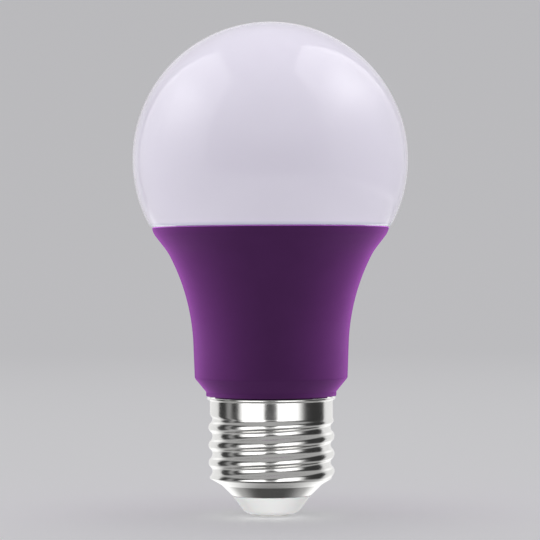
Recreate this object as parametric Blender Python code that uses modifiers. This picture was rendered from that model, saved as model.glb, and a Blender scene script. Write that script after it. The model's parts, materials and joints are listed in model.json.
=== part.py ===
"""Smart light bulb with an E26 screw base, as an assembly of its separate pieces.

Metres, +Z up through the globe. The origin is the middle of the centre contact's
bottom face, where a lamp holder's spring presses. The front of the bulb faces -Y.
"""

from math import atan, atan2, cos, hypot, pi, radians, sin, sqrt, tan

import bmesh
import bpy

MM = 0.001
GAP = 0.3 * MM  # clearance kept between neighbouring pieces

# Screw base
THREAD_PITCH = 3.629 * MM
THREAD_CREST = 13.1 * MM
THREAD_VALLEY = 12.25 * MM
THREAD_PHASE_Z = 9.39 * MM  # height of one crest on the +X side
THREAD_BOTTOM_Z = 8.8 * MM
THREAD_TOP_Z = 20.0 * MM
THREAD_RUN_OUT = 1.2 * MM
BAND_RADIUS = 12.74 * MM
SHELL_TOP_Z = 24.2 * MM
SHELL_LIP_RADIUS = 13.2 * MM
SHELL_SHEET = 0.35 * MM
CONE_TOP = (10.4 * MM, 6.67 * MM)
CONE_BOTTOM = (8.3 * MM, 4.6 * MM)
INSULATOR_TOP_Z = 8.2 * MM
TIP_RADIUS = 5.4 * MM
TIP_Z = 0.8 * MM
TIP_ROUNDING = 0.45 * MM
CONTACT_FLAT_RADIUS = 3.0 * MM
CONTACT_HEAD_RADIUS = 4.4 * MM
CONTACT_SHANK_RADIUS = 1.3 * MM
CONTACT_SHANK_TOP_Z = 7.2 * MM
CONTACT_EDGE = 0.15 * MM

# Housing: its outside runs straight, curves out like a horn, then rounds in at the rim
COLLAR_RADIUS = 13.44 * MM
COLLAR_BOTTOM_Z = 24.5 * MM
COLLAR_TOP_Z = 25.82 * MM
NECK_RADIUS = 15.87 * MM
NECK_Z = 28.65 * MM
DRAFT_ANGLE = radians(2.1)
HORN_RADIUS = 42.5 * MM
HORN_START_Z = 35.95 * MM
HORN_ANGLE = radians(27.0)
FLARE_RADIUS = 11.5 * MM
FLARE_ANGLE = radians(37.8)
SHOULDER_RADIUS = 4.2 * MM
SHOULDER_Z = 57.8 * MM
SHOULDER_ANGLE = radians(10.0)
RIM_Z = 59.75 * MM
RIM_ROUNDING = 0.2 * MM
WALL = 1.5 * MM
LEDGE_Z = 56.3 * MM
SPIGOT_RADIUS = 11.6 * MM
SPIGOT_WALL = 1.2 * MM
SPIGOT_BOTTOM_Z = 10.5 * MM

# Diffuser globe
GLOBE_RADIUS = 28.4 * MM
GLOBE_CENTRE_Z = 73.75 * MM
GLOBE_WALL = 1.2 * MM
GLOBE_EDGE_Z = RIM_Z + GAP
SKIRT_RADIUS = 21.3 * MM
SKIRT_WALL = 1.1 * MM
SKIRT_BOTTOM_Z = 57.5 * MM

# Heat sink cup and the stack that it carries
CUP_SHEET = 1.0 * MM
CUP_BOTTOM_Z = 31.0 * MM
CUP_TOP_Z = 57.2 * MM
CUP_TOP_RADIUS = 20.0 * MM
PAD_RADIUS = 19.3 * MM
PAD_THICKNESS = 0.4 * MM
BOARD_RADIUS = 19.5 * MM
BOARD_THICKNESS = 1.2 * MM
BOARD_BOTTOM_Z = CUP_TOP_Z + PAD_THICKNESS + 2 * GAP
BOARD_TOP_Z = BOARD_BOTTOM_Z + BOARD_THICKNESS
WHITE_LED_COUNT = 10
WHITE_LED_RING = 15.5 * MM
WHITE_LED_SIZE = (2.8 * MM, 3.5 * MM, 0.8 * MM)
COLOUR_LED_SIZE = (3.5 * MM, 3.5 * MM, 1.2 * MM)
COLOUR_LED_OFFSET = (4.2 * MM, 2.6 * MM)
COLOUR_LED_MIDDLE_Y = -1.0 * MM
SCREW_X = 11.0 * MM
SCREW_SHANK_RADIUS = 1.2 * MM
SCREW_HEAD_RADIUS = 2.2 * MM
SCREW_HEAD_FLAT = 1.3 * MM
SCREW_HEAD_HEIGHT = 1.3 * MM
SCREW_HEAD_EDGE = 0.7 * MM

# Driver sleeve and board
SLEEVE_SHEET = 0.8 * MM
SLEEVE_BOTTOM_Z = 31.0 * MM
SLEEVE_TOP_Z = 55.9 * MM
DRIVER_Y = 3.0 * MM
DRIVER_THICKNESS = 1.0 * MM
DRIVER_BOTTOM_Z = 11.5 * MM
DRIVER_STEP_Z = 30.0 * MM
DRIVER_TOP_Z = 54.0 * MM
DRIVER_TONGUE_WIDTH = 17.0 * MM
DRIVER_WIDTH = 22.0 * MM

# Radio module, which passes through the stack
MODULE_Y = -7.0 * MM
MODULE_SIZE = (12.0 * MM, 0.8 * MM, 22.0 * MM)
MODULE_BOTTOM_Z = 46.0 * MM
MODULE_SLOT = (12.8 * MM, 1.6 * MM)
SHIELD_SIZE = (10.0 * MM, 2.0 * MM, 7.0 * MM)
ANTENNA_TURNS = 4
ANTENNA_RADIUS = 0.2 * MM
ANTENNA_HALF_WIDTH = 4.6 * MM

# Pin header between the driver and the LED board
HEADER_Y = 5.0 * MM
HEADER_SIZE = (9.6 * MM, 2.4 * MM, 2.5 * MM)
HEADER_BOTTOM_Z = 50.5 * MM
HEADER_SLOT = (9.4 * MM, 1.6 * MM)
PIN_COUNT = 4
PIN_PITCH = 2.54 * MM
PIN_WIDTH = 0.6 * MM

LEAD_RADIUS = 0.35 * MM
FINE_SEGMENTS = 40
MEDIUM_SEGMENTS = 32
COARSE_SEGMENTS = 24
SMALL_SEGMENTS = 16
RINGS_PER_PITCH = 8
CURL_STEPS = 4
MERGE = 0.00001


# ---------------------------------------------------------------- scene and objects


def clear_scene():
    for old in list(bpy.data.objects):
        bpy.data.objects.remove(old, do_unlink=True)


def new_collection(name):
    collection = bpy.data.collections.new(name)
    bpy.context.scene.collection.children.link(collection)
    return collection


def material(name, colour, roughness, metallic=0.0):
    made = bpy.data.materials.new(name)
    made.use_nodes = True
    shader = made.node_tree.nodes["Principled BSDF"]
    shader.inputs["Base Color"].default_value = (*colour, 1.0)
    shader.inputs["Roughness"].default_value = roughness
    shader.inputs["Metallic"].default_value = metallic
    return made


def add_object(name, data, finish, collection):
    made = bpy.data.objects.new(name, data)
    if finish:
        data.materials.append(finish)
    collection.objects.link(made)
    return made


def shade_round(mesh, angle=radians(35)):
    mesh.shade_smooth()
    mesh.set_sharp_from_angle(angle=angle)


# ---------------------------------------------------------------- modelling helpers


def turned(name, outline, finish, collection, segments=MEDIUM_SEGMENTS, centre=(0, 0, 0)):
    """A turned piece. The outline is (radius, z) points, down the outside and back up inside.

    An outline that starts and ends on the axis stays open there, and any other is a closed loop.
    """
    mesh = bpy.data.meshes.new(name)
    points = [(radius, 0.0, z) for radius, z in outline]
    edges = [(i, i + 1) for i in range(len(points) - 1)]
    if outline[0][0] > 0:
        edges.append((len(points) - 1, 0))
    mesh.from_pydata(points, edges, [])
    made = add_object(name, mesh, finish, collection)
    made.location = centre
    screw = made.modifiers.new("turn", "SCREW")
    screw.axis = "Z"
    screw.steps = segments
    screw.render_steps = segments
    screw.use_merge_vertices = True
    screw.merge_threshold = MERGE
    screw.use_smooth_shade = True
    return made


def rod(name, radius, bottom, top, finish, collection, segments=SMALL_SEGMENTS, x=0.0, y=0.0):
    """An upright solid cylinder with a small chamfer at each end."""
    edge = min(0.15 * radius, 0.25 * (top - bottom))
    outline = [
        (0.0, top),
        (radius - edge, top),
        (radius, top - edge),
        (radius, bottom + edge),
        (radius - edge, bottom),
        (0.0, bottom),
    ]
    return turned(name, outline, finish, collection, segments, (x, y, 0.0))


def block(name, size, centre, finish, collection, rounding=0.0, angle=0.0):
    """A box with bevelled edges, turned about Z by an angle."""
    mesh = bpy.data.meshes.new(name)
    cube = bmesh.new()
    bmesh.ops.create_cube(cube, size=1.0)
    bmesh.ops.scale(cube, vec=size, verts=cube.verts)
    cube.to_mesh(mesh)
    cube.free()
    made = add_object(name, mesh, finish, collection)
    made.location = centre
    made.rotation_euler = (0.0, 0.0, angle)
    if rounding:
        bevel = made.modifiers.new("edges", "BEVEL")
        bevel.width = rounding
        bevel.segments = 1
    return made


def plate(name, outlines, thickness, finish, collection):
    """A flat piece from closed outlines in X and Y. Later outlines are holes in the first."""
    curve = bpy.data.curves.new(name, "CURVE")
    curve.dimensions = "2D"
    curve.fill_mode = "BOTH"
    curve.extrude = thickness / 2
    for outline in outlines:
        spline = curve.splines.new("POLY")
        spline.points.add(len(outline) - 1)
        for point, (x, y) in zip(spline.points, outline):
            point.co = (x, y, 0.0, 1.0)
        spline.use_cyclic_u = True
    return add_object(name, curve, finish, collection)


def wire(name, points, radius, finish, collection):
    """A round wire through straight runs, with filled ends."""
    curve = bpy.data.curves.new(name, "CURVE")
    curve.dimensions = "3D"
    curve.bevel_depth = radius
    curve.bevel_resolution = 2
    curve.render_resolution_u = 0
    curve.use_fill_caps = True
    spline = curve.splines.new("POLY")
    spline.points.add(len(points) - 1)
    for point, place in zip(spline.points, points):
        point.co = (*place, 1.0)
    return add_object(name, curve, finish, collection)


def combine(target, others, operation):
    for other in others:
        boolean = target.modifiers.new(other.name, "BOOLEAN")
        boolean.operation = operation
        boolean.solver = "EXACT"
        boolean.object = other


def hide_cutter(cutter):
    cutter.hide_render = True
    cutter.display_type = "WIRE"
    return cutter


def rectangle(width, height):
    half_width, half_height = width / 2, height / 2
    return [
        (-half_width, -half_height),
        (half_width, -half_height),
        (half_width, half_height),
        (-half_width, half_height),
    ]


def arc(centre, radius, start, end, steps):
    """(radius, z) points on a circle. Angles are from +Z, turning outwards."""
    points = []
    for i in range(steps + 1):
        angle = start + (end - start) * i / steps
        points.append((centre[0] + radius * sin(angle), centre[1] + radius * cos(angle)))
    return points


# ---------------------------------------------------------------- housing's outline


def housing_path():
    """The housing's outside, upwards from the neck: (radius, z, lean from the vertical)."""
    neck_rise = HORN_START_Z - NECK_Z
    radius, z = NECK_RADIUS + neck_rise * tan(DRAFT_ANGLE), HORN_START_Z
    path = [(NECK_RADIUS, NECK_Z, DRAFT_ANGLE)]

    def curve(bend, lean, end_lean, steps):
        """Points along an arc that starts at the last place. A negative bend turns back in."""
        nonlocal radius, z
        for i in range(steps + 1):
            angle = lean + (end_lean - lean) * i / steps
            path.append(
                (
                    radius + bend * (cos(lean) - cos(angle)),
                    z + bend * (sin(angle) - sin(lean)),
                    angle,
                )
            )
        radius, z = path[-1][:2]

    curve(HORN_RADIUS, DRAFT_ANGLE, HORN_ANGLE, 6)
    curve(FLARE_RADIUS, HORN_ANGLE, FLARE_ANGLE, 2)
    radius, z = radius + (SHOULDER_Z - z) * tan(FLARE_ANGLE), SHOULDER_Z
    curve(-SHOULDER_RADIUS, FLARE_ANGLE, SHOULDER_ANGLE, 3)
    return path


def housing_offset(depth, low_z, high_z):
    """The housing's outside moved inwards by a depth, upwards from low_z to high_z."""
    moved = []
    for radius, z, lean in housing_path():
        if z < SHOULDER_Z + MM:
            moved.append((radius - depth * cos(lean), z + depth * sin(lean)))
    inside = [place for place in moved if low_z < place[1] < high_z]

    def radius_at(level):
        for (r0, z0), (r1, z1) in zip(moved, moved[1:]):
            if z0 <= level <= z1 and z1 > z0:
                return r0 + (r1 - r0) * (level - z0) / (z1 - z0)
        return moved[0][0] if level < moved[0][1] else moved[-1][0]

    ends = [(radius_at(low_z), low_z)], [(radius_at(high_z), high_z)]
    points = ends[0] + inside + ends[1]
    apart = 0.05 * MM
    return [p for i, p in enumerate(points) if i == 0 or p[1] - points[i - 1][1] > apart]


# ---------------------------------------------------------------- visible pieces


def diffuser_globe(parts):
    drop = GLOBE_CENTRE_Z - GLOBE_EDGE_Z
    outer_end = pi / 2 + atan(drop / sqrt(GLOBE_RADIUS**2 - drop**2))
    inner_radius = GLOBE_RADIUS - GLOBE_WALL
    inner_edge_z = GLOBE_EDGE_Z + GLOBE_WALL
    inner_drop = GLOBE_CENTRE_Z - inner_edge_z
    inner_end = pi / 2 + atan(inner_drop / sqrt(inner_radius**2 - inner_drop**2))
    centre = (0.0, GLOBE_CENTRE_Z)
    outline = arc(centre, GLOBE_RADIUS, 0.0, pi / 2, 8)
    outline += arc(centre, GLOBE_RADIUS, pi / 2, outer_end, 3)[1:]
    outline += [
        (SKIRT_RADIUS, GLOBE_EDGE_Z),
        (SKIRT_RADIUS, SKIRT_BOTTOM_Z),
        (SKIRT_RADIUS - SKIRT_WALL, SKIRT_BOTTOM_Z),
        (SKIRT_RADIUS - SKIRT_WALL, inner_edge_z),
    ]
    outline += arc(centre, inner_radius, inner_end, 0.0, 10)
    outline[0] = (0.0, outline[0][1])
    outline[-1] = (0.0, outline[-1][1])
    finish = material("opal_globe", (0.78, 0.76, 0.82), 0.25)
    turned("diffuser_globe", outline, finish, parts, FINE_SEGMENTS)


def housing_shell(parts):
    outside = [(radius, z) for radius, z, lean in housing_path()]
    outside = [p for i, p in enumerate(outside) if i == 0 or p[1] - outside[i - 1][1] > MERGE]
    rim_radius = outside[-1][0]
    bore = SKIRT_RADIUS + GAP
    chamfer_lean = atan((NECK_RADIUS - COLLAR_RADIUS) / (NECK_Z - COLLAR_TOP_Z))
    inner_collar = (
        COLLAR_RADIUS - WALL * cos(chamfer_lean),
        COLLAR_TOP_Z + WALL * sin(chamfer_lean),
    )
    outline = [(bore, RIM_Z), (rim_radius - RIM_ROUNDING, RIM_Z)]
    outline += outside[::-1]
    outline += [
        (COLLAR_RADIUS, COLLAR_TOP_Z),
        (COLLAR_RADIUS, COLLAR_BOTTOM_Z),
        (SPIGOT_RADIUS, COLLAR_BOTTOM_Z),
        (SPIGOT_RADIUS, SPIGOT_BOTTOM_Z),
        (SPIGOT_RADIUS - SPIGOT_WALL, SPIGOT_BOTTOM_Z),
        (SPIGOT_RADIUS - SPIGOT_WALL, COLLAR_TOP_Z),
        inner_collar,
    ]
    outline += housing_offset(WALL, NECK_Z + WALL / 2, LEDGE_Z)
    outline.append((bore, LEDGE_Z))
    finish = material("purple_housing", (0.085, 0.028, 0.105), 0.5)
    turned("housing_shell", outline, finish, parts, FINE_SEGMENTS)


def thread_radius(z, angle):
    """The shell's outer radius on the threaded stretch: a right-hand rolled round thread.

    Its crests and roots are equal arcs that meet in a common slope half-way.
    """
    half_pitch, depth = THREAD_PITCH / 2, THREAD_CREST - THREAD_VALLEY
    flank = 2 * atan(depth / half_pitch)
    rounding = half_pitch / (2 * sin(flank))
    turn = (z - THREAD_PHASE_Z) / THREAD_PITCH - angle / (2 * pi)
    from_crest = abs(turn - round(turn)) * THREAD_PITCH
    if from_crest < half_pitch / 2:
        wave = THREAD_CREST - rounding + sqrt(rounding**2 - from_crest**2)
    else:
        wave = THREAD_VALLEY + rounding - sqrt(rounding**2 - (half_pitch - from_crest) ** 2)
    run_in = min(max((THREAD_TOP_Z - z) / THREAD_RUN_OUT, 0.0), 1.0)
    run_out = min(max((z - THREAD_BOTTOM_Z) / THREAD_RUN_OUT, 0.0), 1.0)
    share = run_in * run_out
    return BAND_RADIUS + (wave - BAND_RADIUS) * share


def screw_shell(parts):
    """A drawn sheet: spun as a surface, its thread rolled in, then given its thickness."""
    rings = round((THREAD_TOP_Z - THREAD_BOTTOM_Z) / THREAD_PITCH * RINGS_PER_PITCH)
    outline = [
        (SHELL_LIP_RADIUS, SHELL_TOP_Z),
        (BAND_RADIUS, SHELL_TOP_Z - 0.5 * MM),
    ]
    for i in range(rings + 1):
        z = THREAD_TOP_Z + (THREAD_BOTTOM_Z - THREAD_TOP_Z) * i / rings
        outline.append((BAND_RADIUS, z))
    curl = BAND_RADIUS - CONE_TOP[0]
    drop = THREAD_BOTTOM_Z - CONE_TOP[1]
    for i in range(1, CURL_STEPS):
        angle = pi / 2 * i / CURL_STEPS
        place = (CONE_TOP[0] + curl * cos(angle), THREAD_BOTTOM_Z - drop * sin(angle))
        outline.append(place)
    outline += [CONE_TOP, CONE_BOTTOM]

    surface = bmesh.new()
    line = [surface.verts.new((radius, 0.0, z)) for radius, z in outline]
    edges = [surface.edges.new(pair) for pair in zip(line, line[1:])]
    bmesh.ops.spin(
        surface,
        geom=line + edges,
        axis=(0, 0, 1),
        cent=(0, 0, 0),
        steps=MEDIUM_SEGMENTS,
        angle=2 * pi,
        use_merge=True,
    )
    for vertex in surface.verts:
        x, y, z = vertex.co
        if THREAD_BOTTOM_Z < z < THREAD_TOP_Z:
            grown = thread_radius(z, atan2(y, x)) / hypot(x, y)
            vertex.co.x *= grown
            vertex.co.y *= grown
    bmesh.ops.recalc_face_normals(surface, faces=surface.faces)
    if sum(face.normal.dot(face.calc_center_median()) for face in surface.faces) < 0:
        bmesh.ops.reverse_faces(surface, faces=surface.faces)
    mesh = bpy.data.meshes.new("screw_shell")
    surface.to_mesh(mesh)
    surface.free()
    finish = material("nickel_plate", (0.78, 0.77, 0.75), 0.16, 1.0)
    made = add_object("screw_shell", mesh, finish, parts)
    sheet = made.modifiers.new("sheet", "SOLIDIFY")
    sheet.thickness = SHELL_SHEET
    sheet.offset = -1.0
    shade_round(mesh, radians(50))


def base_insulator(parts):
    """It stands below the shell's 45 degree cone, and a flange rests on the cone inside."""
    hole = CONTACT_SHANK_RADIUS + GAP
    cone_radius = CONE_BOTTOM[0] - GAP
    neck = cone_radius - 0.4 * MM
    flange = CONE_TOP[0] - 0.8 * MM
    clear_of_cone = CONE_BOTTOM[1] - CONE_BOTTOM[0] + (SHELL_SHEET + GAP) * sqrt(2)
    outline = [
        (flange, INSULATOR_TOP_Z),
        (flange, flange + clear_of_cone),
        (neck, neck + clear_of_cone),
        (neck, CONE_BOTTOM[1] - GAP),
        (cone_radius, CONE_BOTTOM[1] - GAP),
        (TIP_RADIUS + TIP_ROUNDING / 2, TIP_Z + TIP_ROUNDING),
        (TIP_RADIUS - TIP_ROUNDING, TIP_Z),
        (hole, TIP_Z),
        (hole, INSULATOR_TOP_Z),
    ]
    finish = material("white_insulator", (0.8, 0.8, 0.78), 0.4)
    turned("base_insulator", outline, finish, parts, MEDIUM_SEGMENTS)


def centre_contact(parts):
    head_top = TIP_Z - GAP
    outline = [
        (0.0, CONTACT_SHANK_TOP_Z),
        (CONTACT_SHANK_RADIUS, CONTACT_SHANK_TOP_Z),
        (CONTACT_SHANK_RADIUS, head_top),
        (CONTACT_HEAD_RADIUS - CONTACT_EDGE, head_top),
        (CONTACT_HEAD_RADIUS, head_top - CONTACT_EDGE),
        (CONTACT_HEAD_RADIUS - 2 * CONTACT_EDGE, CONTACT_EDGE),
        (CONTACT_FLAT_RADIUS, 0.0),
        (0.0, 0.0),
    ]
    finish = material("contact_metal", (0.72, 0.7, 0.66), 0.25, 1.0)
    turned("centre_contact", outline, finish, parts, COARSE_SEGMENTS)


# ---------------------------------------------------------------- light side


def globe_seal(parts):
    inner = SKIRT_RADIUS - 0.95 * MM
    top = SKIRT_BOTTOM_Z - GAP
    bottom = LEDGE_Z + GAP
    outline = [(inner, top), (SKIRT_RADIUS, top), (SKIRT_RADIUS, bottom), (inner, bottom)]
    finish = material("clear_silicone", (0.75, 0.75, 0.73), 0.35)
    turned("globe_seal", outline, finish, parts, MEDIUM_SEGMENTS)


def slot_cutters(cutters):
    """Boxes for the module's slot and the pin header's slot, and rods for the screws' holes."""
    low, high = SLEEVE_TOP_Z - 3 * MM, BOARD_TOP_Z + 2 * MM
    middle, depth = (low + high) / 2, high - low
    slots = [
        block("module_slot", (*MODULE_SLOT, depth), (0.0, MODULE_Y, middle), None, cutters),
        block("header_slot", (*HEADER_SLOT, depth), (0.0, HEADER_Y, middle), None, cutters),
    ]
    radius = SCREW_SHANK_RADIUS + GAP
    holes = []
    for side, x in (("left", -SCREW_X), ("right", SCREW_X)):
        cutter = rod(f"screw_hole_{side}", radius, low, high, None, cutters, x=x)
        holes.append(cutter)
    for cutter in slots + holes:
        hide_cutter(cutter)
    return slots, holes


def disc(name, radius, bottom, thickness, finish, parts):
    top = bottom + thickness
    outline = [(0.0, top), (radius, top), (radius, bottom), (0.0, bottom)]
    return turned(name, outline, finish, parts, MEDIUM_SEGMENTS)


def led_board(parts, slots, holes):
    finish = material("board_white", (0.82, 0.82, 0.8), 0.45)
    made = disc("led_board", BOARD_RADIUS, BOARD_BOTTOM_Z, BOARD_THICKNESS, finish, parts)
    combine(made, slots + holes, "DIFFERENCE")


def thermal_pad(parts, slots, holes):
    finish = material("thermal_grey", (0.35, 0.37, 0.4), 0.8)
    made = disc("thermal_pad", PAD_RADIUS, CUP_TOP_Z + GAP, PAD_THICKNESS, finish, parts)
    combine(made, slots + holes, "DIFFERENCE")


def led_packages(parts):
    white = material("led_white", (0.85, 0.7, 0.3), 0.4)
    colour = material("led_colour", (0.85, 0.85, 0.82), 0.35)
    rounding = 0.15 * MM
    z = BOARD_TOP_Z + GAP + WHITE_LED_SIZE[2] / 2
    for i in range(WHITE_LED_COUNT):
        angle = 2 * pi * (i + 0.5) / WHITE_LED_COUNT
        centre = (WHITE_LED_RING * cos(angle), WHITE_LED_RING * sin(angle), z)
        name = f"led_white_{i + 1:02d}"
        block(name, WHITE_LED_SIZE, centre, white, parts, rounding, angle)
    z = BOARD_TOP_Z + GAP + COLOUR_LED_SIZE[2] / 2
    number = 1
    for side_y in (-1, 1):
        for side_x in (-1, 1):
            centre = (
                side_x * COLOUR_LED_OFFSET[0],
                COLOUR_LED_MIDDLE_Y + side_y * COLOUR_LED_OFFSET[1],
                z,
            )
            block(f"led_colour_{number:02d}", COLOUR_LED_SIZE, centre, colour, parts, rounding)
            number += 1


def board_screws(parts):
    finish = material("screw_steel", (0.55, 0.55, 0.55), 0.3, 1.0)
    under_head = BOARD_TOP_Z + GAP
    tip = CUP_TOP_Z - CUP_SHEET + 0.1 * MM
    outline = [
        (0.0, under_head + SCREW_HEAD_HEIGHT),
        (SCREW_HEAD_FLAT, under_head + SCREW_HEAD_HEIGHT),
        (SCREW_HEAD_RADIUS, under_head + SCREW_HEAD_EDGE),
        (SCREW_HEAD_RADIUS, under_head),
        (SCREW_SHANK_RADIUS, under_head),
        (SCREW_SHANK_RADIUS, tip + 0.3 * MM),
        (SCREW_SHANK_RADIUS - 0.3 * MM, tip),
        (0.0, tip),
    ]
    for number, x in ((1, -SCREW_X), (2, SCREW_X)):
        turned(f"board_screw_{number}", outline, finish, parts, SMALL_SEGMENTS, (x, 0.0, 0.0))


def heat_sink_cup(parts, slots, holes):
    depth = WALL + GAP
    under_top = CUP_TOP_Z - CUP_SHEET
    outer = housing_offset(depth, CUP_BOTTOM_Z, under_top)
    inner = housing_offset(depth + CUP_SHEET, CUP_BOTTOM_Z, under_top)
    outer[-1] = (CUP_TOP_RADIUS, under_top)
    outline = [(0.0, CUP_TOP_Z), (CUP_TOP_RADIUS, CUP_TOP_Z)]
    outline += outer[::-1] + inner
    outline.append((0.0, under_top))
    finish = material("drawn_aluminium", (0.7, 0.71, 0.72), 0.35, 1.0)
    made = turned("heat_sink_cup", outline, finish, parts, MEDIUM_SEGMENTS)
    combine(made, slots + holes, "DIFFERENCE")


# ---------------------------------------------------------------- driver side


def driver_sleeve(parts, slots):
    depth = WALL + CUP_SHEET + 2 * GAP
    under_top = SLEEVE_TOP_Z - SLEEVE_SHEET
    outer = housing_offset(depth, SLEEVE_BOTTOM_Z, SLEEVE_TOP_Z)
    inner = housing_offset(depth + SLEEVE_SHEET, SLEEVE_BOTTOM_Z, under_top)
    outline = [(0.0, SLEEVE_TOP_Z)] + outer[::-1] + inner + [(0.0, under_top)]
    finish = material("sleeve_plastic", (0.75, 0.75, 0.72), 0.5)
    made = turned("driver_sleeve", outline, finish, parts, COARSE_SEGMENTS)
    combine(made, slots, "DIFFERENCE")


def upright(made, x=0.0, y=0.0, z=0.0):
    """Stands a flat plate up: its outline's Y becomes Z, and it faces -Y."""
    made.rotation_euler = (pi / 2, 0.0, 0.0)
    made.location = (x, y, z)
    return made


def driver_board(parts):
    tongue, half = DRIVER_TONGUE_WIDTH / 2, DRIVER_WIDTH / 2
    outline = [
        (-tongue, DRIVER_BOTTOM_Z),
        (tongue, DRIVER_BOTTOM_Z),
        (tongue, DRIVER_STEP_Z),
        (half, DRIVER_STEP_Z + half - tongue),
        (half, DRIVER_TOP_Z),
        (-half, DRIVER_TOP_Z),
        (-half, DRIVER_STEP_Z + half - tongue),
        (-tongue, DRIVER_STEP_Z),
    ]
    finish = material("board_green", (0.02, 0.2, 0.08), 0.45)
    upright(plate("driver_board", [outline], DRIVER_THICKNESS, finish, parts), y=DRIVER_Y)


def front_components(parts):
    """The tall components, on the driver board's -Y face."""
    sleeve = material("capacitor_sleeve", (0.03, 0.03, 0.05), 0.4)
    film = material("film_yellow", (0.75, 0.5, 0.06), 0.45)
    blue = material("varistor_blue", (0.04, 0.12, 0.45), 0.5)
    green = material("resistor_green", (0.08, 0.25, 0.12), 0.5)
    ferrite = material("ferrite", (0.06, 0.06, 0.065), 0.6)
    copper = material("copper_winding", (0.7, 0.32, 0.14), 0.35, 1.0)
    rod("input_capacitor", 4.0 * MM, 13 * MM, 25 * MM, sleeve, parts, x=3.4 * MM, y=-2.4 * MM)
    rod("output_capacitor", 3.15 * MM, 39 * MM, 50 * MM, sleeve, parts, x=8.7 * MM, y=-1 * MM)
    size = (4.4 * MM, 4.0 * MM, 10 * MM)
    centre = (-8.2 * MM, 0.1 * MM, 45 * MM)
    block("film_capacitor", size, centre, film, parts, 0.3 * MM)
    disc_piece = rod("varistor", 3.4 * MM, -1.6 * MM, 1.6 * MM, blue, parts)
    disc_piece.rotation_euler = (0.0, pi / 2, 0.0)
    disc_piece.location = (-5.0 * MM, -1.4 * MM, 25.0 * MM)
    place = {"x": -4.5 * MM, "y": -2.5 * MM}
    rod("fusible_resistor", 1.5 * MM, 12.5 * MM, 20.5 * MM, green, parts, **place)
    drum_inductor(parts, ferrite)
    transformer(parts, ferrite, copper)


def drum_inductor(parts, finish):
    """A drum core: two flanges with the winding's waist between them."""
    flange, waist = 3.2 * MM, 2.7 * MM
    low, high, thick = 27.5 * MM, 35.5 * MM, 1.0 * MM
    outline = [
        (0.0, high),
        (flange, high),
        (flange, high - thick),
        (waist, high - thick - 0.3 * MM),
        (waist, low + thick + 0.3 * MM),
        (flange, low + thick),
        (flange, low),
        (0.0, low),
    ]
    place = (1.2 * MM, -3.5 * MM, 0.0)
    turned("filter_inductor", outline, finish, parts, SMALL_SEGMENTS, place)


def transformer(parts, ferrite, copper):
    """A pair of E cores as one closed frame with a middle leg, and the coil around that leg."""
    y, z = -1.6 * MM, 45.0 * MM
    width, height, depth = 10.4 * MM, 10.0 * MM, 3.4 * MM
    leg, window, window_height = 2.6 * MM, 2.7 * MM, 6.8 * MM
    window_middle = (leg + window) / 2
    windows = []
    for side in (-1, 1):
        hole = rectangle(window, window_height)
        windows.append([(side * window_middle + px, py) for px, py in hole])
    outlines = [rectangle(width, height)] + windows
    upright(plate("transformer_core", outlines, depth, ferrite, parts), y=y, z=z)
    wound = 1.7 * MM
    coil_width = leg + 2 * GAP + 2 * wound
    coil_depth = depth + 2 * GAP + 2 * wound
    outlines = [rectangle(coil_width, coil_depth), rectangle(leg + 2 * GAP, depth + 2 * GAP)]
    coil = plate("transformer_winding", outlines, window_height - 2 * GAP, copper, parts)
    coil.location = (0.0, y, z)


def back_components(parts):
    """The flat components, on the driver board's +Y face."""
    black = material("chip_black", (0.02, 0.02, 0.022), 0.5)
    face = DRIVER_Y + DRIVER_THICKNESS / 2 + GAP
    chips = {
        "bridge_rectifier": ((4.7, 1.5, 4.0), 0.0, 26.0),
        "driver_ic": ((4.9, 1.5, 3.9), 0.0, 37.0),
        "freewheel_diode": ((4.3, 2.1, 2.6), -5.0, 43.0),
        "regulator_ic": ((3.0, 1.2, 3.0), 5.0, 43.0),
    }
    for name, (size, x, z) in chips.items():
        size = tuple(length * MM for length in size)
        centre = (x * MM, face + size[1] / 2, z * MM)
        block(name, size, centre, black, parts, 0.15 * MM)


def radio_module(parts):
    board = material("module_blue", (0.02, 0.06, 0.25), 0.45)
    can = material("shield_tin", (0.66, 0.66, 0.64), 0.35, 1.0)
    trace = material("antenna_copper", (0.72, 0.4, 0.16), 0.3, 1.0)
    middle_z = MODULE_BOTTOM_Z + MODULE_SIZE[2] / 2
    block("wireless_board", MODULE_SIZE, (0.0, MODULE_Y, middle_z), board, parts)
    front = MODULE_Y - MODULE_SIZE[1] / 2 - GAP
    centre = (0.0, front - SHIELD_SIZE[1] / 2, MODULE_BOTTOM_Z + 5.0 * MM)
    block("wireless_shield", SHIELD_SIZE, centre, can, parts, 0.3 * MM)
    y = front - ANTENNA_RADIUS
    low = BOARD_TOP_Z + 1.0 * MM
    step = 0.9 * MM
    points = [(-ANTENNA_HALF_WIDTH, y, low)]
    for turn in range(2 * ANTENNA_TURNS):
        side = 1 if turn % 2 == 0 else -1
        z = low + step * turn
        points.append((side * ANTENNA_HALF_WIDTH, y, z))
        points.append((side * ANTENNA_HALF_WIDTH, y, z + step))
    wire("antenna", points, ANTENNA_RADIUS, trace, parts)


def pin_header(parts, cutters):
    body = material("header_black", (0.03, 0.03, 0.03), 0.5)
    middle_z = HEADER_BOTTOM_Z + HEADER_SIZE[2] / 2
    made = block("pin_header", HEADER_SIZE, (0.0, HEADER_Y, middle_z), body, parts)
    low, high = HEADER_BOTTOM_Z + MM, BOARD_TOP_Z + MM
    pins = []
    for i in range(PIN_COUNT):
        x = (i - (PIN_COUNT - 1) / 2) * PIN_PITCH
        size = (PIN_WIDTH, PIN_WIDTH, high - low)
        pin = block(f"pin_{i + 1}", size, (x, HEADER_Y, (low + high) / 2), None, cutters)
        pins.append(hide_cutter(pin))
    combine(made, pins, "UNION")


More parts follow.
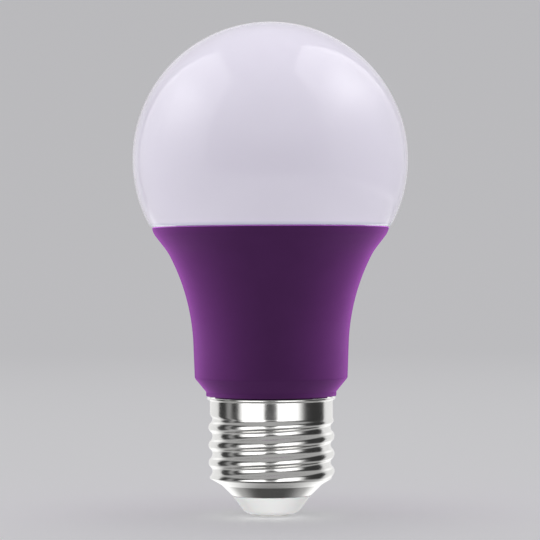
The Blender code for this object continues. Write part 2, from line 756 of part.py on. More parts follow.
def leads(parts):
    red = material("lead_red", (0.55, 0.03, 0.02), 0.5)
    white = material("lead_white", (0.8, 0.8, 0.78), 0.5)
    live = [
        (0.0, 0.0, CONTACT_SHANK_TOP_Z + GAP),
        (0.0, 0.0, 9.0 * MM),
        (-0.8 * MM, -0.4 * MM, 10.0 * MM),
        (-3.6 * MM, -2.0 * MM, 10.9 * MM),
        (-4.5 * MM, -2.5 * MM, 11.5 * MM),
        (-4.5 * MM, -2.5 * MM, 12.5 * MM - GAP),
    ]
    wire("live_lead", live, LEAD_RADIUS, red, parts)
    y = DRIVER_Y - DRIVER_THICKNESS / 2 - GAP - LEAD_RADIUS
    neutral = [
        (6.6 * MM, y, 14.0 * MM),
        (6.6 * MM, y, 10.6 * MM),
        (7.1 * MM, y, 9.4 * MM),
        (8.2 * MM, y, 9.0 * MM),
        (11.0 * MM, y, 9.2 * MM),
    ]
    wire("neutral_lead", neutral, LEAD_RADIUS, white, parts)


def main():
    clear_scene()
    parts = new_collection("smart_light_bulb")
    cutters = new_collection("cutters")
    diffuser_globe(parts)
    housing_shell(parts)
    screw_shell(parts)
    base_insulator(parts)
    centre_contact(parts)
    slots, holes = slot_cutters(cutters)
    globe_seal(parts)
    led_board(parts, slots, holes)
    led_packages(parts)
    board_screws(parts)
    thermal_pad(parts, slots, holes)
    heat_sink_cup(parts, slots, holes)
    driver_sleeve(parts, slots)
    driver_board(parts)
    front_components(parts)
    back_components(parts)
    radio_module(parts)
    pin_header(parts, cutters)
    leads(parts)


main()
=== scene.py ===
"""Looks of the smart light bulb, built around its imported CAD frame.

Metres, +Z up through the globe, -Y towards the camera. Sizes come from the frame's boxes,
and the named values below add what a box doesn't say: roundings, arcs and the thread.
"""

import json
from math import asin, atan, atan2, ceil, cos, exp, hypot, pi, radians, sin, sqrt, tan

import bmesh
import bpy
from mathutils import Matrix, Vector


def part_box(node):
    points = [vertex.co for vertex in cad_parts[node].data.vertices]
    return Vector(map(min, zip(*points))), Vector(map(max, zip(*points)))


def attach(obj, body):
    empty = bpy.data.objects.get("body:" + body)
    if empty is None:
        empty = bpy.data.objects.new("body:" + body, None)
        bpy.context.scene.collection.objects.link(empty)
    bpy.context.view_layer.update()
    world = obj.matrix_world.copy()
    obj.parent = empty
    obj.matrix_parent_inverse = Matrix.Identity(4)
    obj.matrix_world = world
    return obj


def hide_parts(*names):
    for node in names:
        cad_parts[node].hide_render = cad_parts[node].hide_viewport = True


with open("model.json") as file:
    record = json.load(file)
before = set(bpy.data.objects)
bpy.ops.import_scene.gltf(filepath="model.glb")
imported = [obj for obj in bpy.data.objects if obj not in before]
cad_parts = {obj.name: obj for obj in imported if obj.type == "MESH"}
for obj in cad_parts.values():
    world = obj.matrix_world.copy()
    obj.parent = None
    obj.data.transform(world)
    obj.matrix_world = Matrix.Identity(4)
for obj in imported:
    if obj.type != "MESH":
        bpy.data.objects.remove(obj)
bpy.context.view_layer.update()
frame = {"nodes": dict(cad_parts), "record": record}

MM = 0.001
BODY = "root"

# Housing outline, upwards from the collar
COLLAR_RADIUS = 13.44 * MM
COLLAR_BOTTOM_Z = 24.95 * MM
COLLAR_TOP_Z = 25.82 * MM
NECK_RADIUS = 15.77 * MM
NECK_Z = 28.65 * MM
DRAFT_ANGLE = radians(2.1)
HORN_RADIUS = 43.4 * MM
HORN_START_Z = 35.6 * MM
HORN_ANGLE = radians(27.0)
FLARE_RADIUS = 11.5 * MM
FLARE_ANGLE = radians(37.8)
SHOULDER_RADIUS = 4.2 * MM
SHOULDER_Z = 57.8 * MM
SHOULDER_ANGLE = radians(10.0)
RIM_ROUNDING = 0.18 * MM
RIM_FLARE = 0.02 * MM
# The rim's rounding takes the place of the outline's last points
RIM_POINTS = 3
HOUSING_WALL = 1.5 * MM
SPIGOT_RADIUS = 11.6 * MM
SPIGOT_WALL = 1.2 * MM
LEDGE_Z = 56.3 * MM

# Globe, and the skirt that it stands in the housing with
GLOBE_INSET = 0.1 * MM
GLOBE_WALL = 1.2 * MM
EDGE_ROUNDING = 0.6 * MM
SKIRT_RADIUS = 21.3 * MM
SKIRT_WALL = 1.1 * MM
SKIRT_GAP = 0.15 * MM
SEAM_GAP = 0.08 * MM

# Screw shell
THREAD_PITCH = 3.629 * MM
THREAD_CREST = 13.0 * MM
THREAD_ROOT = 12.19 * MM
THREAD_PHASE_Z = 9.39 * MM
RUN_OUT_HEIGHT = 2.76
RUN_OUT_RISE = 0.26
RUN_OUT_ANGLE = radians(169)
RUN_OUT_FOCUS = 3.2
RUN_OUT_SPAN = 0.35
CURL_Z = 7.6 * MM
CURL_FADE = 0.9 * MM
RELIEF_TOP_Z = 23.2 * MM
BAND_RADIUS = 12.68 * MM
BAND_LENGTH = 1.38 * MM
SHELL_SHEET = 0.3 * MM
LIP_RISE = 0.24 * MM
LIP_FLARE = 0.04 * MM
LIP_HEIGHT = 0.35 * MM
LIP_SLOPE = 0.27 * MM
CURL_TOP_Z = 9.0 * MM
CURL_BEND_Z = 8.0 * MM
CURL_FOOT = (10.42 * MM, 6.69 * MM)
CONE_FOOT_RADIUS = 8.18 * MM
CONE_EDGE_RADIUS = 7.9 * MM
CONE_DROP = 0.1 * MM
RING_STEP = 0.12 * MM

# Insulator
RIVET_HOLE = 1.6 * MM
PLUG_FOOT_Z = 7.3 * MM
PLUG_NECK_RADIUS = 7.5 * MM
PLUG_NECK_Z = 5.3 * MM
INSULATOR_RIM_RADIUS = 8.2 * MM
INSULATOR_FOOT = (5.78 * MM, 1.3 * MM)
INSULATOR_BASE_RADIUS = 4.9 * MM
INSULATOR_FLAT_RADIUS = 4.5 * MM
INSULATOR_EDGE_DROP = 0.04 * MM

# Contact
TIP_INSET = 0.26 * MM
HEAD_INSET = 0.02 * MM
HEAD_TOP_Z = 0.78 * MM
HEAD_SIDE_Z = 0.52 * MM
SHANK_RADIUS = 1.3 * MM
DISH_TOP = (3.6 * MM, 0.34 * MM)
TIP_FLAT_RADIUS = 2.6 * MM

# Turned pieces: segments all round, and how near their points are joined
FINE = 192
MEDIUM = 128
COARSE = 96
MERGE_DISTANCE = 0.002 * MM


# ---------------------------------------------------------------- outlines


def arc(centre, radius, start, end, steps):
    """(radius, z) points on a circle about (r, z). Angles are from +Z, turning outwards."""
    turn = [start + (end - start) * i / steps for i in range(steps + 1)]
    return [(centre[0] + radius * sin(a), centre[1] + radius * cos(a)) for a in turn]


def filleted(corners, step=radians(12)):
    """A line through (r, z, rounding) corners, with an arc at each corner that has a rounding."""
    points = []
    for i, (r, z, rounding) in enumerate(corners):
        if not rounding or i in (0, len(corners) - 1):
            points.append((r, z))
            continue
        here = Vector((r, z))
        back = Vector(corners[i - 1][:2]) - here
        ahead = Vector(corners[i + 1][:2]) - here
        opening = back.angle(ahead)
        reach = min(rounding / tan(opening / 2), 0.49 * back.length, 0.49 * ahead.length)
        radius = reach * tan(opening / 2)
        middle = here + (back.normalized() + ahead.normalized()).normalized() * (
            radius / sin(opening / 2)
        )
        start = here + back.normalized() * reach - middle
        sweep = start.angle_signed(here + ahead.normalized() * reach - middle)
        count = max(2, ceil(abs(sweep) / step))
        for k in range(count + 1):
            a = -sweep * k / count
            turned = Vector(
                (start.x * cos(a) - start.y * sin(a), start.x * sin(a) + start.y * cos(a))
            )
            points.append(tuple(middle + turned))
    return points


def housing_path(horn_steps=36):
    """The housing's outside, upwards from the neck: (radius, z, lean from the vertical)."""
    r, z = NECK_RADIUS + (HORN_START_Z - NECK_Z) * tan(DRAFT_ANGLE), HORN_START_Z
    path = []

    def curve(r, z, bend, lean, end_lean, steps):
        for i in range(steps + 1):
            a = lean + (end_lean - lean) * i / steps
            path.append((r + bend * (cos(lean) - cos(a)), z + bend * (sin(a) - sin(lean)), a))
        return path[-1][:2]

    r, z = curve(r, z, HORN_RADIUS, DRAFT_ANGLE, HORN_ANGLE, horn_steps)
    path.pop()
    r, z = curve(r, z, FLARE_RADIUS, HORN_ANGLE, FLARE_ANGLE, 8)
    r, z = r + (SHOULDER_Z - z) * tan(FLARE_ANGLE), SHOULDER_Z
    curve(r, z, -SHOULDER_RADIUS, FLARE_ANGLE, SHOULDER_ANGLE, 10)
    return path


# ---------------------------------------------------------------- meshes


def spin(mesh, verts, edges, segments):
    bmesh.ops.spin(
        mesh,
        geom=verts + edges,
        axis=(0, 0, 1),
        cent=(0, 0, 0),
        steps=segments,
        angle=2 * pi,
        use_merge=True,
    )


def lathe(name, outline, segments=FINE, sharp=radians(40)):
    """A turned piece from (r, z) points. A line that leaves the axis and returns is a solid."""
    mesh = bpy.data.meshes.new(name)
    turned = bmesh.new()
    line = [turned.verts.new((r, 0.0, z)) for r, z in outline]
    pairs = list(zip(line, line[1:]))
    if outline[0][0] > 0:
        pairs.append((line[-1], line[0]))
    edges = [turned.edges.new(pair) for pair in pairs]
    spin(turned, line, edges, segments)
    bmesh.ops.remove_doubles(turned, verts=turned.verts, dist=MERGE_DISTANCE)
    bmesh.ops.recalc_face_normals(turned, faces=turned.faces)
    if turned.calc_volume(signed=True) < 0:
        bmesh.ops.reverse_faces(turned, faces=turned.faces)
    turned.to_mesh(mesh)
    turned.free()
    mesh.shade_smooth()
    mesh.set_sharp_from_angle(angle=sharp)
    made = bpy.data.objects.new(name, mesh)
    bpy.context.scene.collection.objects.link(made)
    return made


def stands_for(piece, node, finish):
    """The piece takes the node's place on the bulb's one body, in a material slot's finish."""
    piece.data.materials.clear()
    piece.data.materials.append(finish)
    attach(piece, BODY)
    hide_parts(node)


# ---------------------------------------------------------------- materials


class Nodes:
    """Short ways to add nodes to a material's, a light's or the world's tree."""

    def __init__(self, tree):
        self.tree = tree

    def node(self, kind, **values):
        made = self.tree.nodes.new(kind)
        for key, value in values.items():
            setattr(made, key, value)
        return made

    def link(self, source, target):
        self.tree.links.new(source, target)

    def axes(self, vector):
        """A vector's X, Y and Z outputs."""
        split = self.node("ShaderNodeSeparateXYZ")
        self.link(vector, split.inputs["Vector"])
        return split.outputs

    def math(self, operation, *values):
        """A Math node's result. A value is a number or another node's output."""
        made = self.node("ShaderNodeMath", operation=operation)
        for socket, value in zip(made.inputs, values):
            if isinstance(value, (int, float)):
                socket.default_value = value
            else:
                self.link(value, socket)
        return made.outputs["Value"]

    def ranged(self, source, low, high, start=0.3, end=0.7, soft=False):
        """The source's range from start to end, mapped to low to high and clamped."""
        kind = "SMOOTHSTEP" if soft else "LINEAR"
        made = self.node("ShaderNodeMapRange", interpolation_type=kind)
        made.inputs["From Min"].default_value = start
        made.inputs["From Max"].default_value = end
        made.inputs["To Min"].default_value = low
        made.inputs["To Max"].default_value = high
        self.link(source, made.inputs["Value"])
        return made.outputs["Result"]


class Finish(Nodes):
    """A Principled material with procedural variation, in the object's own coordinates."""

    def __init__(self, name, **sockets):
        self.material = bpy.data.materials.new(name)
        self.material.use_nodes = True
        super().__init__(self.material.node_tree)
        self.shader = self.tree.nodes["Principled BSDF"]
        for socket, value in sockets.items():
            self.shader.inputs[socket.replace("_", " ")].default_value = value
        self.place = self.node("ShaderNodeTexCoord").outputs["Object"]

    def noise(self, size, stretch=(1, 1, 1), detail=3.0):
        """Noise whose features are about size metres across, stretched along an axis."""
        mapping = self.node("ShaderNodeMapping")
        mapping.inputs["Scale"].default_value = [1 / factor for factor in stretch]
        self.link(self.place, mapping.inputs["Vector"])
        made = self.node("ShaderNodeTexNoise")
        made.inputs["Scale"].default_value = 1 / size
        made.inputs["Detail"].default_value = detail
        self.link(mapping.outputs["Vector"], made.inputs["Vector"])
        return made.outputs["Fac"]

    def colour(self, source, low, high):
        """Base colour between two tones, by a noise."""
        mix = self.node("ShaderNodeMix", data_type="RGBA")
        mix.inputs["A"].default_value = (*low, 1)
        mix.inputs["B"].default_value = (*high, 1)
        self.link(self.ranged(source, 0.0, 1.0), mix.inputs["Factor"])
        self.link(mix.outputs["Result"], self.shader.inputs["Base Color"])

    def paint_shade_below(self, clear_z, full_z, tint):
        """Painted shade: base colour times a darker tint below full_z, fading out up to clear_z."""
        share = self.ranged(self.axes(self.place)["Z"], 1.0, 0.0, full_z, clear_z)
        mix = self.node("ShaderNodeMix", data_type="RGBA", blend_type="MULTIPLY")
        mix.inputs["B"].default_value = (*tint, 1)
        colour = self.shader.inputs["Base Color"]
        self.link(colour.links[0].from_socket, mix.inputs["A"])
        self.link(share, mix.inputs["Factor"])
        self.link(mix.outputs["Result"], colour)

    def roughness(self, source, low, high):
        """Roughness between two values, by a noise."""
        self.link(self.ranged(source, low, high), self.shader.inputs["Roughness"])

    def bump(self, source, depth, strength=1.0):
        """Relief of a depth in metres, added over any relief that is there already."""
        made = self.node("ShaderNodeBump")
        made.inputs["Distance"].default_value = depth
        made.inputs["Strength"].default_value = strength
        self.link(source, made.inputs["Height"])
        normal = self.shader.inputs["Normal"]
        if normal.links:
            self.link(normal.links[0].from_socket, made.inputs["Normal"])
        self.link(made.outputs["Normal"], normal)


def tones(colour, share):
    """The colour a little darker and a little lighter."""
    return [tuple(c * (1 + side * share) for c in colour) for side in (-1, 1)]


def globe_edge_z():
    """Where the globe's outside ends, just above the housing's rim."""
    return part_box("housing_shell")[1].z + SEAM_GAP


def opal_globe():
    """Glossy opal plastic, with painted shade along its lower edge where it meets the housing."""
    made = Finish("opal_globe", Subsurface_Weight=0.35, Subsurface_Scale=4 * MM, IOR=1.5)
    made.shader.inputs["Subsurface Radius"].default_value = (1.0, 0.95, 1.0)
    made.colour(made.noise(18 * MM, detail=1.0), *tones((0.80, 0.757, 0.895), 0.006))
    edge_z = globe_edge_z()
    # Painted shade: the base colour darkens in the last 0.75 mm above the seam, standing in for the
    # shade where globe and housing meet
    made.paint_shade_below(edge_z + 0.75 * MM, edge_z + 0.2 * MM, (0.72, 0.8, 0.79))
    made.roughness(made.noise(9 * MM, detail=1.0), 0.07, 0.09)
    made.bump(made.noise(14 * MM, detail=0.0), 0.012 * MM)
    return made.material


def purple_housing():
    """Matt moulded plastic with a fine grain, lighter where it turns away."""
    made = Finish("purple_housing", Specular_IOR_Level=0.12, Sheen_Weight=0.7, Sheen_Roughness=0.4)
    made.shader.inputs["Sheen Tint"].default_value = (0.83, 0.23, 1.0, 1)
    made.colour(made.noise(6 * MM, detail=2.0), *tones((0.17, 0.045, 0.215), 0.03))
    made.roughness(made.noise(2.5 * MM), 0.46, 0.54)
    made.bump(made.noise(0.28 * MM, detail=2.0), 0.012 * MM)
    return made.material


def nickel_plate():
    """Bright plated metal with faint upright ripples."""
    made = Finish("nickel_plate", Metallic=1.0)
    made.colour(made.noise(5 * MM), *tones((0.83, 0.825, 0.81), 0.02))
    made.roughness(made.noise(1.6 * MM), 0.16, 0.21)
    made.bump(made.noise(1.4 * MM, stretch=(1, 1, 0.35), detail=2.0), 0.006 * MM)
    return made.material


def white_insulator():
    """White moulding with a slight shine."""
    made = Finish("white_insulator", IOR=1.5, Subsurface_Weight=0.1, Subsurface_Scale=1 * MM)
    made.colour(made.noise(4 * MM), *tones((0.85, 0.85, 0.84), 0.01))
    made.roughness(made.noise(1.2 * MM), 0.3, 0.38)
    made.bump(made.noise(0.6 * MM), 0.004 * MM)
    return made.material


def contact_metal():
    """Dull metal."""
    made = Finish("contact_metal", Metallic=1.0)
    made.colour(made.noise(1.5 * MM), *tones((0.80, 0.79, 0.76), 0.03))
    made.roughness(made.noise(0.7 * MM), 0.38, 0.48)
    made.bump(made.noise(0.5 * MM), 0.006 * MM)
    return made.material


METAL_ROUGHNESS = {"aluminium": 0.35, "brushed_steel": 0.3, "brass": 0.3, "chrome": 0.15}
OTHER_ROUGHNESS = {"gloss_plastic": 0.25, "rubber": 0.6, "ceramic": 0.55}
USUAL_ROUGHNESS = 0.45


def plain_finish(slot):
    """A procedural finish for an inner piece, from its slot's colour and class in the record."""
    kind = slot["class"]
    base = {**METAL_ROUGHNESS, **OTHER_ROUGHNESS}.get(kind, USUAL_ROUGHNESS)
    made = Finish(slot["slot"], Metallic=1.0 if kind in METAL_ROUGHNESS else 0.0)
    made.colour(made.noise(2 * MM), *tones(slot["base_color"][:3], 0.06))
    made.roughness(made.noise(1 * MM), base - 0.05, base + 0.08)
    made.bump(made.noise(0.3 * MM), 0.008 * MM)
    return made.material


# ---------------------------------------------------------------- visible pieces


def globe_piece(finish):
    """A hollow ball that ends at the seam, where a skirt goes down into the housing."""
    low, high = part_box("diffuser_globe")
    radius = (high.x - low.x) / 2
    centre = (0.0, high.z - radius - GLOBE_INSET)
    edge_z = globe_edge_z()
    outer_end = pi / 2 + asin((centre[1] - edge_z) / radius)
    inner = radius - GLOBE_WALL
    inner_edge_z = edge_z + GLOBE_WALL
    inner_end = pi / 2 + asin((centre[1] - inner_edge_z) / inner)
    outline = arc(centre, radius, 0.0, outer_end, 80)
    edge_r = outline.pop()[0]
    skirt_in = SKIRT_RADIUS - SKIRT_WALL
    rim = [
        (*outline[-1], 0),
        (edge_r, edge_z, EDGE_ROUNDING),
        (SKIRT_RADIUS, edge_z, 0.1 * MM),
        (SKIRT_RADIUS, low.z, 0.2 * MM),
        (skirt_in, low.z, 0.2 * MM),
        (skirt_in, inner_edge_z, 0.4 * MM),
    ]
    inside = arc(centre, inner, inner_end, 0.0, 60)
    outline = outline[:-1] + filleted(rim + [(*inside[0], 0)]) + inside[1:]
    outline[0] = (0.0, outline[0][1])
    outline[-1] = (0.0, outline[-1][1])
    piece = lathe("globe", outline)
    stands_for(piece, "diffuser_globe", finish)
    return piece


def housing_piece(finish):
    """A shell of even wall, with a ledge for the globe's skirt and a spigot for the screw shell."""
    low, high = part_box("housing_shell")
    path = housing_path()
    outside = [(r, z) for r, z, lean in path]
    rim_radius = outside[-1][0] + RIM_FLARE
    outside = outside[:-RIM_POINTS]
    bore = SKIRT_RADIUS + SKIRT_GAP
    rim = [(bore, high.z, 0), (rim_radius, high.z, RIM_ROUNDING), (*outside[-1], 0)]
    lean = atan((NECK_RADIUS - COLLAR_RADIUS) / (NECK_Z - COLLAR_TOP_Z))
    inner_collar = (
        COLLAR_RADIUS - HOUSING_WALL * cos(lean),
        COLLAR_TOP_Z + HOUSING_WALL * sin(lean),
    )
    spigot_in = SPIGOT_RADIUS - SPIGOT_WALL
    inside = [(r - HOUSING_WALL * cos(a), z + HOUSING_WALL * sin(a)) for r, z, a in path]
    inside = [p for p in inside if p[1] < LEDGE_Z - 0.2 * MM]
    neck = [
        (*outside[1], 0),
        (*outside[0], 0),
        (NECK_RADIUS, NECK_Z, 0.9 * MM),
        (COLLAR_RADIUS, COLLAR_TOP_Z, 0.35 * MM),
        (COLLAR_RADIUS, COLLAR_BOTTOM_Z, 0.12 * MM),
        (SPIGOT_RADIUS, COLLAR_BOTTOM_Z, 0.1 * MM),
        (SPIGOT_RADIUS, low.z, 0.2 * MM),
        (spigot_in, low.z, 0.2 * MM),
        (spigot_in, COLLAR_TOP_Z, 0.4 * MM),
        (*inner_collar, 0.5 * MM),
        (inside[0][0] - 0.1 * MM, inside[0][1] - 5 * MM, 0.5 * MM),
        (*inside[0], 0),
    ]
    ledge_in = inside[-1][0] + (LEDGE_Z - inside[-1][1]) * tan(FLARE_ANGLE)
    ledge = [(*inside[-1], 0), (ledge_in, LEDGE_Z, 0), (bore, LEDGE_Z, 0.2 * MM), (bore, high.z, 0)]
    outline = filleted(rim)[:-1] + outside[2:][::-1] + filleted(neck)
    outline += inside[1:-1] + filleted(ledge)[:-1]
    piece = lathe("housing", outline)
    stands_for(piece, "housing_shell", finish)
    return piece


def smooth(value, start, end):
    """0 before start and 1 after end, with a soft change between. The ends may be swapped."""
    t = min(max((value - start) / (end - start), 0.0), 1.0)
    return t * t * (3 - 2 * t)


def thread_relief(z, angle):
    """How far the rolled thread stands out of the plain shell, negative in its groove.

    Crests and roots are equal arcs that meet half-way, on one helix. Heights and turns are
    counted in pitches from the crest on the +X side. The last turn runs out into the plain
    band, highest on the -X side, and the first turn fades into the curl.
    """
    half_pitch, depth = THREAD_PITCH / 2, THREAD_CREST - THREAD_ROOT
    middle = (THREAD_CREST + THREAD_ROOT) / 2 - BAND_RADIUS
    flank = 2 * atan(depth / half_pitch)
    rounding = half_pitch / (2 * sin(flank))
    height = (z - THREAD_PHASE_Z) / THREAD_PITCH
    rise = height - angle / (2 * pi)
    from_crest = abs(rise - round(rise)) * THREAD_PITCH
    if from_crest < half_pitch / 2:
        stand = middle + depth / 2 - rounding + sqrt(rounding**2 - from_crest**2)
    else:
        from_root = half_pitch - from_crest
        stand = middle - depth / 2 + rounding - sqrt(rounding**2 - from_root**2)
    run_out = RUN_OUT_HEIGHT + RUN_OUT_RISE * exp(RUN_OUT_FOCUS * (cos(angle - RUN_OUT_ANGLE) - 1))
    below_band = smooth(height, run_out + RUN_OUT_SPAN, run_out)
    return stand * below_band * smooth(z, CURL_Z, CURL_Z + CURL_FADE)


def shell_outline():
    """The shell's outside before its thread is rolled, from the top lip down to the cone's rim."""
    low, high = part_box("screw_shell")
    lip_z = high.z + LIP_RISE
    lip_radius = high.x + LIP_FLARE
    slope_z = lip_z - LIP_HEIGHT
    band_z = slope_z - LIP_SLOPE
    top = [
        (lip_radius - 0.4 * MM, lip_z, 0),
        (lip_radius, lip_z, 0.14 * MM),
        (lip_radius, slope_z, 0.14 * MM),
        (BAND_RADIUS, band_z, 0.25 * MM),
        (BAND_RADIUS, band_z - BAND_LENGTH, 0),
    ]
    outline = filleted(top, step=radians(8))
    start_z = outline[-1][1]
    count = round((start_z - CURL_TOP_Z) / RING_STEP)
    drop = (start_z - CURL_TOP_Z) / count
    outline += [(BAND_RADIUS, start_z - drop * i) for i in range(1, count)]
    curl = [
        (BAND_RADIUS, CURL_TOP_Z, 0),
        (BAND_RADIUS, CURL_BEND_Z, 0.5 * MM),
        (*CURL_FOOT, 0.18 * MM),
        (CONE_FOOT_RADIUS, low.z - CONE_DROP, 0.12 * MM),
        (CONE_EDGE_RADIUS, low.z, 0),
    ]
    return outline + filleted(curl, step=radians(6))


def shell_piece(finish):
    """A thin sheet with the thread rolled into it, so its inside follows its outside."""
    outline = shell_outline()
    mesh = bpy.data.meshes.new("shell")
    surface = bmesh.new()
    line = [surface.verts.new((r, 0.0, z)) for r, z in outline]
    edges = [surface.edges.new(pair) for pair in zip(line, line[1:])]
    spin(surface, line, edges, FINE)
    for vertex in surface.verts:
        x, y, z = vertex.co
        if CURL_Z < z < RELIEF_TOP_Z:
            grown = 1 + thread_relief(z, atan2(y, x)) / hypot(x, y)
            vertex.co = (x * grown, y * grown, z)
    bmesh.ops.recalc_face_normals(surface, faces=surface.faces)
    outward = sum(f.normal.x * f.calc_center_median().x for f in surface.faces)
    if outward < 0:
        bmesh.ops.reverse_faces(surface, faces=surface.faces)
    surface.to_mesh(mesh)
    surface.free()
    mesh.shade_smooth()
    piece = bpy.data.objects.new("shell", mesh)
    bpy.context.scene.collection.objects.link(piece)
    sheet = piece.modifiers.new("sheet", "SOLIDIFY")
    sheet.thickness = SHELL_SHEET
    sheet.offset = -1.0
    stands_for(piece, "screw_shell", finish)
    return piece


def insulator_piece(finish):
    """A plug inside the shell and a blunt cone below it, with the rivet's hole through both."""
    low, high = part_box("base_insulator")
    rim_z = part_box("screw_shell")[0].z - CONE_DROP
    corners = [
        (RIVET_HOLE, high.z, 0),
        (high.x, high.z, 0.2 * MM),
        (high.x, PLUG_FOOT_Z, 0.1 * MM),
        (PLUG_NECK_RADIUS, PLUG_NECK_Z, 0.1 * MM),
        (PLUG_NECK_RADIUS, rim_z + 0.1 * MM, 0),
        (INSULATOR_RIM_RADIUS, rim_z - INSULATOR_EDGE_DROP, 0.08 * MM),
        (*INSULATOR_FOOT, 0.9 * MM),
        (INSULATOR_BASE_RADIUS, low.z - INSULATOR_EDGE_DROP, 0.2 * MM),
        (INSULATOR_FLAT_RADIUS, low.z, 0.1 * MM),
        (RIVET_HOLE, low.z, 0.1 * MM),
        (RIVET_HOLE, high.z - 0.1 * MM, 0),
    ]
    piece = lathe("insulator", filleted(corners, step=radians(6)), MEDIUM)
    stands_for(piece, "base_insulator", finish)
    return piece


def contact_piece(finish):
    """A rivet: a shank in the insulator's hole, and a shallow dished head below it."""
    low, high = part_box("centre_contact")
    head = high.x - HEAD_INSET
    corners = [
        (0.0, high.z, 0),
        (SHANK_RADIUS, high.z, 0.2 * MM),
        (SHANK_RADIUS, HEAD_TOP_Z, 0.1 * MM),
        (head - 0.1 * MM, HEAD_TOP_Z, 0.05 * MM),
        (head, HEAD_SIDE_Z, 0.12 * MM),
        (*DISH_TOP, 0.8 * MM),
        (TIP_FLAT_RADIUS, TIP_INSET, 0.5 * MM),
        (0.0, TIP_INSET, 0),
    ]
    piece = lathe("contact", filleted(corners, step=radians(6)), COARSE)
    stands_for(piece, "centre_contact", finish)
    return piece


# ---------------------------------------------------------------- camera, stage and lights


CAMERA_DISTANCE = 516 * MM
CAMERA_SIDE = -0.15 * MM
CAMERA_ROLL = radians(0.25)
VIEW_WIDTH = 111.5 * MM
EYE_HEIGHT = 50.9 * MM
SENSOR = 36.0


def add_camera():
    """A long lens, level with the bulb's middle."""
    data = bpy.data.cameras.new("camera")
    data.sensor_width = SENSOR
    data.lens = SENSOR * CAMERA_DISTANCE / VIEW_WIDTH
    data.clip_start, data.clip_end = 0.01, 20.0
    camera = bpy.data.objects.new("camera", data)
    camera.location = (CAMERA_SIDE, -CAMERA_DISTANCE, EYE_HEIGHT)
    camera.rotation_euler = (pi / 2, CAMERA_ROLL, 0.0)
    bpy.context.scene.collection.objects.link(camera)
    bpy.context.scene.camera = camera


FLOOR_GLOW = 0.24
FLOOR_GAP = 0.05 * MM
FLOOR_RADIUS = 1.0
FLOOR_BEND = 0.6
WALL_TOP = 1.9


def add_stage():
    """A pale floor that curves up into a wall all round.

    It is kept out of mirror images and throws no light on the pieces.
    """
    floor_z = TIP_INSET - FLOOR_GAP
    outline = [(FLOOR_RADIUS * i / 10, floor_z) for i in range(11)]
    for i in range(1, 19):
        a = radians(5 * i)
        outline.append((FLOOR_RADIUS + FLOOR_BEND * sin(a), floor_z + FLOOR_BEND * (1 - cos(a))))
    outline.append((FLOOR_RADIUS + FLOOR_BEND, WALL_TOP))
    mesh = bpy.data.meshes.new("floor")
    bowl = bmesh.new()
    line = [bowl.verts.new((r, 0.0, z)) for r, z in outline]
    edges = [bowl.edges.new(pair) for pair in zip(line, line[1:])]
    spin(bowl, line, edges, COARSE)
    bmesh.ops.remove_doubles(bowl, verts=bowl.verts, dist=0.01 * MM)
    bowl.to_mesh(mesh)
    bowl.free()
    mesh.shade_smooth()
    floor = bpy.data.objects.new("floor", mesh)
    bpy.context.scene.collection.objects.link(floor)
    made = Finish("pale_floor", Roughness=0.9, Specular_IOR_Level=0.0, Emission_Strength=FLOOR_GLOW)
    made.shader.inputs["Emission Color"].default_value = (0.97, 0.97, 1.0, 1)
    made.colour(made.noise(0.6, detail=1.0), *tones((0.8, 0.8, 0.805), 0.004))
    mesh.materials.append(made.material)
    floor.visible_glossy = False
    floor.visible_diffuse = False
    floor.visible_shadow = False
    return floor


AMBIENT = 0.27
AMBIENT_COLOUR = (0.98, 0.97, 1.0, 1)
# What a mirror sees: a level at eye height, another above and below, and how they meet
MIRROR_LEVEL = 0.04
MIRROR_ABOVE = 0.52
MIRROR_RISE = (0.08, 0.34)
MIRROR_SIDES = -0.5
NADIR_SHARE = 0.18
NADIR_RISE = (-0.95, -0.74)


def add_world():
    """Even light for matt surfaces. Mirrors see a studio that is dark at eye level, with
    a grey ceiling and floor, and darker towards its two sides.
    """
    world = bpy.data.worlds.new("studio")
    bpy.context.scene.world = world
    world.use_nodes = True
    world.node_tree.nodes.clear()
    nodes = Nodes(world.node_tree)
    output = nodes.node("ShaderNodeOutputWorld")
    ambient = nodes.node("ShaderNodeBackground")
    ambient.inputs["Color"].default_value = AMBIENT_COLOUR
    ambient.inputs["Strength"].default_value = AMBIENT
    mirrored = nodes.node("ShaderNodeBackground")
    way = nodes.axes(nodes.node("ShaderNodeTexCoord").outputs["Generated"])
    height = nodes.math("ABSOLUTE", way["Z"])
    side = nodes.math("MULTIPLY", way["X"], way["X"])
    level = nodes.math("MULTIPLY_ADD", side, MIRROR_SIDES, height)
    grey = nodes.ranged(level, MIRROR_LEVEL, MIRROR_ABOVE, *MIRROR_RISE, soft=True)
    nadir = nodes.ranged(way["Z"], NADIR_SHARE, 1.0, *NADIR_RISE, soft=True)
    nodes.link(nodes.math("MULTIPLY", grey, nadir), mirrored.inputs["Strength"])
    pick = nodes.node("ShaderNodeMixShader")
    nodes.link(nodes.node("ShaderNodeLightPath").outputs["Is Glossy Ray"], pick.inputs["Fac"])
    nodes.link(ambient.outputs["Background"], pick.inputs[1])
    nodes.link(mirrored.outputs["Background"], pick.inputs[2])
    nodes.link(pick.outputs["Shader"], output.inputs["Surface"])


WAIST_Z = 42 * MM
BASE_Z = 15 * MM


